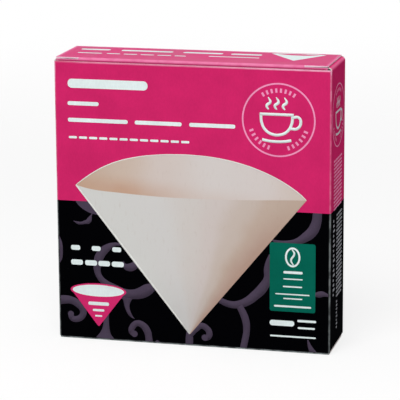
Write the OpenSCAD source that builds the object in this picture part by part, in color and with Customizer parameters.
// Carton of folded paper cone filters: a printed folding box with a tuck-in lid, a glued
// bottom, and the folded filters standing inside it.
// Millimetres. The front faces -Y, +X is to the right and +Z is up. The origin is the
// middle of the base.

/* [Filter] */
// Distance from the tip of a folded filter to its rim
filter_slant = 104; // [90:1:116]
// Thickness of one ply of crepe paper
ply = 0.2; // [0.14:0.02:0.26]
// Air between the two plies of one folded filter
pocket = 0.16; // [0.08:0.02:0.24]
// Width of the pressed seam along the upright edge
seam_w = 6; // [4:0.5:9]
// Radius of the pressed seam's lower corner
seam_corner_r = 2; // [0.5:0.5:4]

/* [Stack] */
// Number of filters in the carton
filter_count = 40; // [20:1:50]
// Air between one filter and the next
filter_gap = 0.13; // [0.08:0.01:0.3]
// Air between the rearmost filter and the back panel, and under the filters
stack_clear = 0.2; // [0.1:0.05:0.5]
// Room left in front of the stack
front_room = 2.4; // [1:0.1:6]
// How far the filters lie out of line from side to side
stack_slip = 0.7; // [0:0.1:1.5]

/* [Carton] */
// Thickness of the carton board
board = 0.45; // [0.35:0.05:0.6]
// Outer radius of the creases
crease_r = 0.9; // [0.7:0.05:1.3]
// Room at each side of the filters
side_room = 4.55; // [2:0.05:8]
// Room between the filters and the lower edge of the tuck flap
head_room = 3.4; // [1:0.1:10]
// Width of the glue flap inside the left rear corner
glue_flap_w = 13; // [8:1:16]
// How much lower the glue flap gets at each end, towards its free edge
glue_flap_slope = 4.5; // [2:0.5:8]
// How far the cut edge beside the glue flap stops short of the back
glue_edge_step = 0.4; // [0.2:0.1:0.8]

/* [Lid] */
// Length of the tuck flap below its crease
tuck_len = 14; // [9:0.5:18]
// Radius of the tuck flap's lower corners
tuck_corner_r = 8; // [3:0.5:8]
// Length of the slit at each end of the tuck flap's crease
slit_len = 10; // [6:0.5:16]
// Air between the lid's cut edge and the tuck flap's ear at each slit
slit_w = 0.15; // [0.1:0.05:0.4]
// How far the lid's ends stop short of the side panels
lid_inset = 1.2; // [0.6:0.1:2]
// How far the lid lies out of line, to the left
lid_slip = 0.5; // [0:0.1:0.8]
// How far the lid stands above the front panel's cut edge
front_drop = 1.65; // [1.2:0.05:2.5]
// Air between the tuck flap and the panel in front of it
tuck_clear = 0.3; // [0.2:0.05:0.6]
// Air between the tuck flap's lower edge and that panel as the flap swings out
tuck_pass = 0.15; // [0.1:0.05:0.3]
// Air between the tuck flap as it swings and what lies behind it
swing_clear = 0.45; // [0.3:0.05:1]
// Air between the lid and the dust flaps, and at the hinge crease
lid_clear = 0.12; // [0.08:0.01:0.25]

/* [Flaps] */
// Length of the side flaps under the lid and in the bottom
dust_len = 24; // [16:1:34]
// Radius of the side flaps' corners
dust_corner_r = 5; // [2:0.5:7]
// Outer radius of the soft creases at which the flaps turn in under the lid
dust_crease_r = 1.5; // [0.9:0.1:2]
// Air round the ends of those creases, beside the lid and behind the front panel
shoulder_clear = 0.15; // [0.1:0.05:0.3]
// How much narrower a side flap gets towards its end
dust_taper = 3; // [1:0.5:6]
// How far the bottom flaps stop short of the sides
bottom_inset = 0.5; // [0.3:0.1:1]
// How far the outer bottom flap stops short of the back
bottom_edge_step = 1.5; // [1:0.25:4]

/* [Hidden] */
$fn = 96;
arc_steps = 8;
slip_turn = 137;
cut_over = 1;
card_colour = "#c92a68";
paper_colour = "#d9c6a8";

filter_t = 2 * ply + pocket;
pitch = filter_t + filter_gap;
stack_t = filter_count * pitch - filter_gap;
filter_w = seam_w + filter_slant;

carton_w = filter_w + 2 * side_room + 2 * board;
carton_d = stack_t + stack_clear + front_room + 2 * board;
floor_z = 3 * board;
carton_h = floor_z + stack_clear + filter_slant + head_room + tuck_len + crease_r;
dust_top = carton_h - board - lid_clear;

left_x = -carton_w / 2;
right_x = carton_w / 2;
front_y = -carton_d / 2;
back_y = carton_d / 2;
front_top = carton_h - front_drop;
side_top = dust_top - dust_crease_r;
side_bottom = floor_z - board + crease_r;

hinge_y = back_y - board / 2;
hinge_z = carton_h - board / 2;
back_top = hinge_z - board / 2 - lid_clear;

// The tuck flap leans back just enough for its lower edge to swing out past the front
// panel as the lid turns on its hinge
tuck_y = front_y + board + tuck_clear;
crease_y = tuck_y + crease_r;
crease_z = carton_h - crease_r;
crease_run = hinge_y - crease_y;
crease_drop = hinge_z - crease_z;
swing_arm = norm([crease_run, crease_drop]);
tuck_arm = norm([tuck_len, crease_r]);
swing_r = hinge_y - (front_y + board) - tuck_pass;
tuck_lean = atan2(crease_run * crease_r + crease_drop * tuck_len,
                  crease_run * tuck_len - crease_drop * crease_r)
    + asin((swing_arm * swing_arm + tuck_arm * tuck_arm - swing_r * swing_r) / (2 * swing_arm * tuck_arm));
// How far the flap's ears rise past the crease's tangent, to just under the lid
ear_rise = (carton_h - board - slit_w - crease_z + (crease_r - board) * sin(tuck_lean)) / cos(tuck_lean);
// Nearest that the swinging flap's inner face comes to the hinge
swing_inner_r = crease_run * cos(tuck_lean) + crease_drop * sin(tuck_lean) + crease_r - board;
dust_front_y = hinge_y - swing_inner_r + swing_clear;

function two_digits(i) = str(i < 10 ? "0" : "", i);
function filter_name(i) = str("filter_", two_digits(i));

function xy(p) = [p[0], p[1]];
function unit(v) = v / norm(v);

// The points of an arc from the direction of angle a0 to that of a1
function arc(centre, r, a0, a1) =
    [for (i = [0:arc_steps])
        let (a = a0 + (a1 - a0) * i / arc_steps)
        centre + r * [cos(a), sin(a)]];

// The points of one corner at p, between the directions a and b, rounded to radius r
function corner_arc(p, a, b, r) =
    let (
        half = acos(a * b) / 2,
        centre = p + unit(a + b) * r / sin(half),
        from = p + a * r / tan(half) - centre,
        start = atan2(from[1], from[0]),
        turn = (180 - 2 * half) * sign(a[0] * b[1] - a[1] * b[0])
    )
    arc(centre, r, start, start - turn);

// A closed outline from corners [x, y, r], each rounded to its own radius r
function rounded(corners) =
    let (n = len(corners))
    [for (i = [0:n - 1])
        let (
            p = xy(corners[i]),
            a = unit(xy(corners[(i + n - 1) % n]) - p),
            b = unit(xy(corners[(i + 1) % n]) - p),
            r = corners[i][2]
        )
        each (r > 0 ? corner_arc(p, a, b, r) : [p])];

module box(low, high) {
    translate(low) cube(high - low);
}

// A drawing in the X and Z directions, made a slab from y0 to y1
module upright_slab(y0, y1) {
    translate([0, y1, 0]) rotate([90, 0, 0]) linear_extrude(y1 - y0) children();
}

// A section drawn as [y, z], run along X from x0 to x1
module along_x(x0, x1) {
    translate([x0, 0, 0]) rotate([90, 0, 90]) linear_extrude(x1 - x0) children();
}

// A section drawn as [x, z], run along Y from y0 to y1
module along_y(y0, y1) {
    upright_slab(y0, y1) children();
}

// A quarter of a board bent to outer radius r, from the direction of angle a to that of a + 90
module bend(a, r = crease_r) {
    rotate(a) intersection() {
        difference() {
            circle(r);
            circle(r - board);
        }
        square(r);
    }
}

// The four panels with their upright creases and the glue flap
module panels() {
    box([left_x + crease_r, front_y, crease_r], [right_x - crease_r, front_y + board, front_top]);
    box([left_x + board + crease_r, back_y - board, board + crease_r], [right_x - crease_r, back_y, back_top]);
    box([right_x - board, front_y + crease_r, side_bottom], [right_x, back_y - crease_r, side_top]);
    box([left_x, front_y + crease_r, side_bottom], [left_x + board, back_y - glue_edge_step, side_top]);
    upright_crease(left_x + crease_r, front_y + crease_r, 180, crease_r, front_top);
    upright_crease(right_x - crease_r, front_y + crease_r, 270, crease_r, front_top);
    upright_crease(right_x - crease_r, back_y - crease_r, 0, board + crease_r, side_top);
    glue_flap();
}

module upright_crease(x, y, a, z0, z1) {
    translate([x, y, z0]) linear_extrude(z1 - z0) bend(a);
}

// The flap that joins the back panel to the inside of the left panel, with its crease
module glue_flap() {
    y1 = back_y - crease_r;
    y0 = y1 - glue_flap_w;
    z0 = floor_z + board;
    z1 = side_top - board;
    upright_crease(left_x + board + crease_r, y1, 90, z0, z1);
    translate([left_x + board, 0, 0])
        along_x(0, board)
            polygon([[y1, z0], [y1, z1], [y0, z1 - glue_flap_slope], [y0, z0 + glue_flap_slope]]);
}

// The outline of a side flap from its crease at x = 0 inwards, with its front edge at y0
module side_flap_outline(y0, y1) {
    polygon(rounded([
        [0, y0, 0],
        [dust_len, y0 + dust_taper, dust_corner_r],
        [dust_len, y1, dust_corner_r],
        [0, y1, 0]
    ]));
}

// The flat of a side flap at the right end, from a crease of radius r, its upper face at top_z
module side_flap(top_z, y0, y1, r) {
    translate([right_x - r, 0, top_z - board])
        mirror([1, 0, 0]) linear_extrude(board) side_flap_outline(y0, y1);
}

// The two flaps under the lid. Their creases run on past the flaps' front edges, to fill the
// corners beside the lid.
module dust_flaps() {
    y1 = back_y - board - swing_clear;
    for (side = [0, 1])
        mirror([side, 0, 0]) {
            side_flap(dust_top, dust_front_y, y1, dust_crease_r);
            along_y(dust_front_y, y1) dust_crease();
            along_y(front_y + board + shoulder_clear, dust_front_y)
                crease_shoulder(lid_inset + (side == 0 ? lid_slip : -lid_slip) - shoulder_clear);
        }
}

// The section [x, z] of the crease between the right side panel and its flap
module dust_crease() {
    translate([right_x - dust_crease_r, side_top]) bend(0, dust_crease_r);
}

// The outermost w of that section, with the flap's own thickness where w reaches past it
module crease_shoulder(w) {
    intersection() {
        union() {
            dust_crease();
            translate([right_x - dust_crease_r - w, dust_top - board]) square([w, board]);
        }
        translate([right_x - w, side_top]) square([w, dust_crease_r]);
    }
}

// The glued bottom: side flaps innermost, then the back panel's flap, then the front panel's
module bottom_flaps() {
    y0 = front_y + board + bottom_inset;
    y1 = back_y - board - bottom_inset;
    x0 = left_x + bottom_inset;
    x1 = right_x - bottom_inset;
    for (side = [0, 1])
        mirror([side, 0, 0]) {
            side_flap(floor_z, y0, y1, crease_r);
            along_y(y0, y1) translate([right_x - crease_r, side_bottom]) bend(270);
        }
    box([x0 + board, y0, board], [x1, back_y - crease_r, 2 * board]);
    along_x(x0 + board, x1)
        translate([back_y - crease_r, board + crease_r]) bend(270);
    box([x0, front_y + crease_r, 0], [x1, back_y - bottom_edge_step, board]);
    along_x(x0, x1)
        translate([front_y + crease_r, crease_r]) bend(180);
}

module carton() {
    color(card_colour) {
        panels();
        dust_flaps();
        bottom_flaps();
    }
}

// The point [y, z] of the leaning tuck flap that is s below its crease and t in from its face
function tuck_point(s, t) =
    [crease_y, crease_z]
    + (t - crease_r) * [cos(tuck_lean), sin(tuck_lean)]
    + s * [sin(tuck_lean), -cos(tuck_lean)];

// The section of the tuck flap below its crease
function tuck_section() =
    [tuck_point(slit_w, 0), tuck_point(tuck_len, 0), tuck_point(tuck_len, board), tuck_point(slit_w, board)];

// The section of the flap's ears, which stay flat and end just under the lid
function ear_section() =
    concat(
        [tuck_point(-ear_rise, 0), tuck_point(0, 0)],
        tuck_section(),
        [tuck_point(0, board), tuck_point(-ear_rise, board)]
    );

// The section of the lid between the slits, from the hinge round the crease and back
function lid_section() =
    let (centre = [crease_y, crease_z])
    concat(
        [[hinge_y, carton_h]],
        arc(centre, crease_r, 90, 180 + tuck_lean),
        tuck_section(),
        arc(centre, crease_r - board, 180 + tuck_lean, 90),
        [[hinge_y, carton_h - board]]
    );

// One end of the lid beyond its slit: the panel's cut edge above, and the tuck flap's ear
module lid_end() {
    x0 = left_x + lid_inset;
    x1 = x0 + slit_len;
    box([x0, tuck_y, carton_h - board], [x1, hinge_y, carton_h]);
    difference() {
        along_x(x0 + slit_w, x1) polygon(ear_section());
        translate([x0 + slit_w, crease_y, crease_z])
            rotate([tuck_lean, 0, 0]) translate([0, -crease_r, -tuck_len])
                upright_slab(-cut_over, board + cut_over) tuck_corner();
    }
}

// What is cut away outside a round lower corner of the tuck flap
module tuck_corner() {
    difference() {
        translate([-cut_over, -cut_over]) square(tuck_corner_r + cut_over);
        translate([tuck_corner_r, tuck_corner_r]) circle(tuck_corner_r);
    }
}

// The round of the lid's hinge crease
module hinge_round() {
    x0 = left_x + lid_inset;
    translate([x0, hinge_y, hinge_z]) rotate([0, 90, 0]) cylinder(d = board, h = -2 * x0);
}

module lid() {
    color(card_colour) translate([-lid_slip, 0, 0]) {
        along_x(left_x + lid_inset + slit_len, right_x - lid_inset - slit_len) polygon(lid_section());
        for (side = [0, 1])
            mirror([side, 0, 0]) lid_end();
        hinge_round();
    }
}

// One filter folded flat: its fold lies along the bottom, its pressed seam stands at the
// left, and its tip is at the lower left. It is drawn from y = 0 to y = filter_t.
module folded_filter() {
    difference() {
        union() {
            intersection() {
                along_x(0, filter_slant) hairpin(filter_t / 2);
                upright_slab(0, filter_t) circle(filter_slant);
            }
            upright_slab(pocket / 2, filter_t - pocket / 2) seam_outline();
        }
        along_x(0, filter_slant + cut_over) hairpin(pocket / 2);
    }
}

// The section of a folded sheet, whose round fold has radius r
module hairpin(r) {
    translate([filter_t / 2, filter_t / 2]) circle(r);
    translate([filter_t / 2 - r, filter_t / 2]) square([2 * r, filter_slant]);
}

// The strip where both plies are pressed together
module seam_outline() {
    polygon(rounded([
        [0, filter_t / 2, 0],
        [0, filter_slant, 0],
        [-seam_w, filter_slant, 0],
        [-seam_w, filter_t / 2, seam_corner_r]
    ]));
}

// Filter number i, counted from the back panel
module filter(i) {
    color(paper_colour)
        translate([
            -filter_w / 2 + seam_w + stack_slip * sin(slip_turn * i),
            back_y - board - stack_clear - filter_t - (i - 1) * pitch,
            floor_z + stack_clear
        ])
            folded_filter();
}

carton();
lid();
for (i = [1:filter_count])
    filter(i);
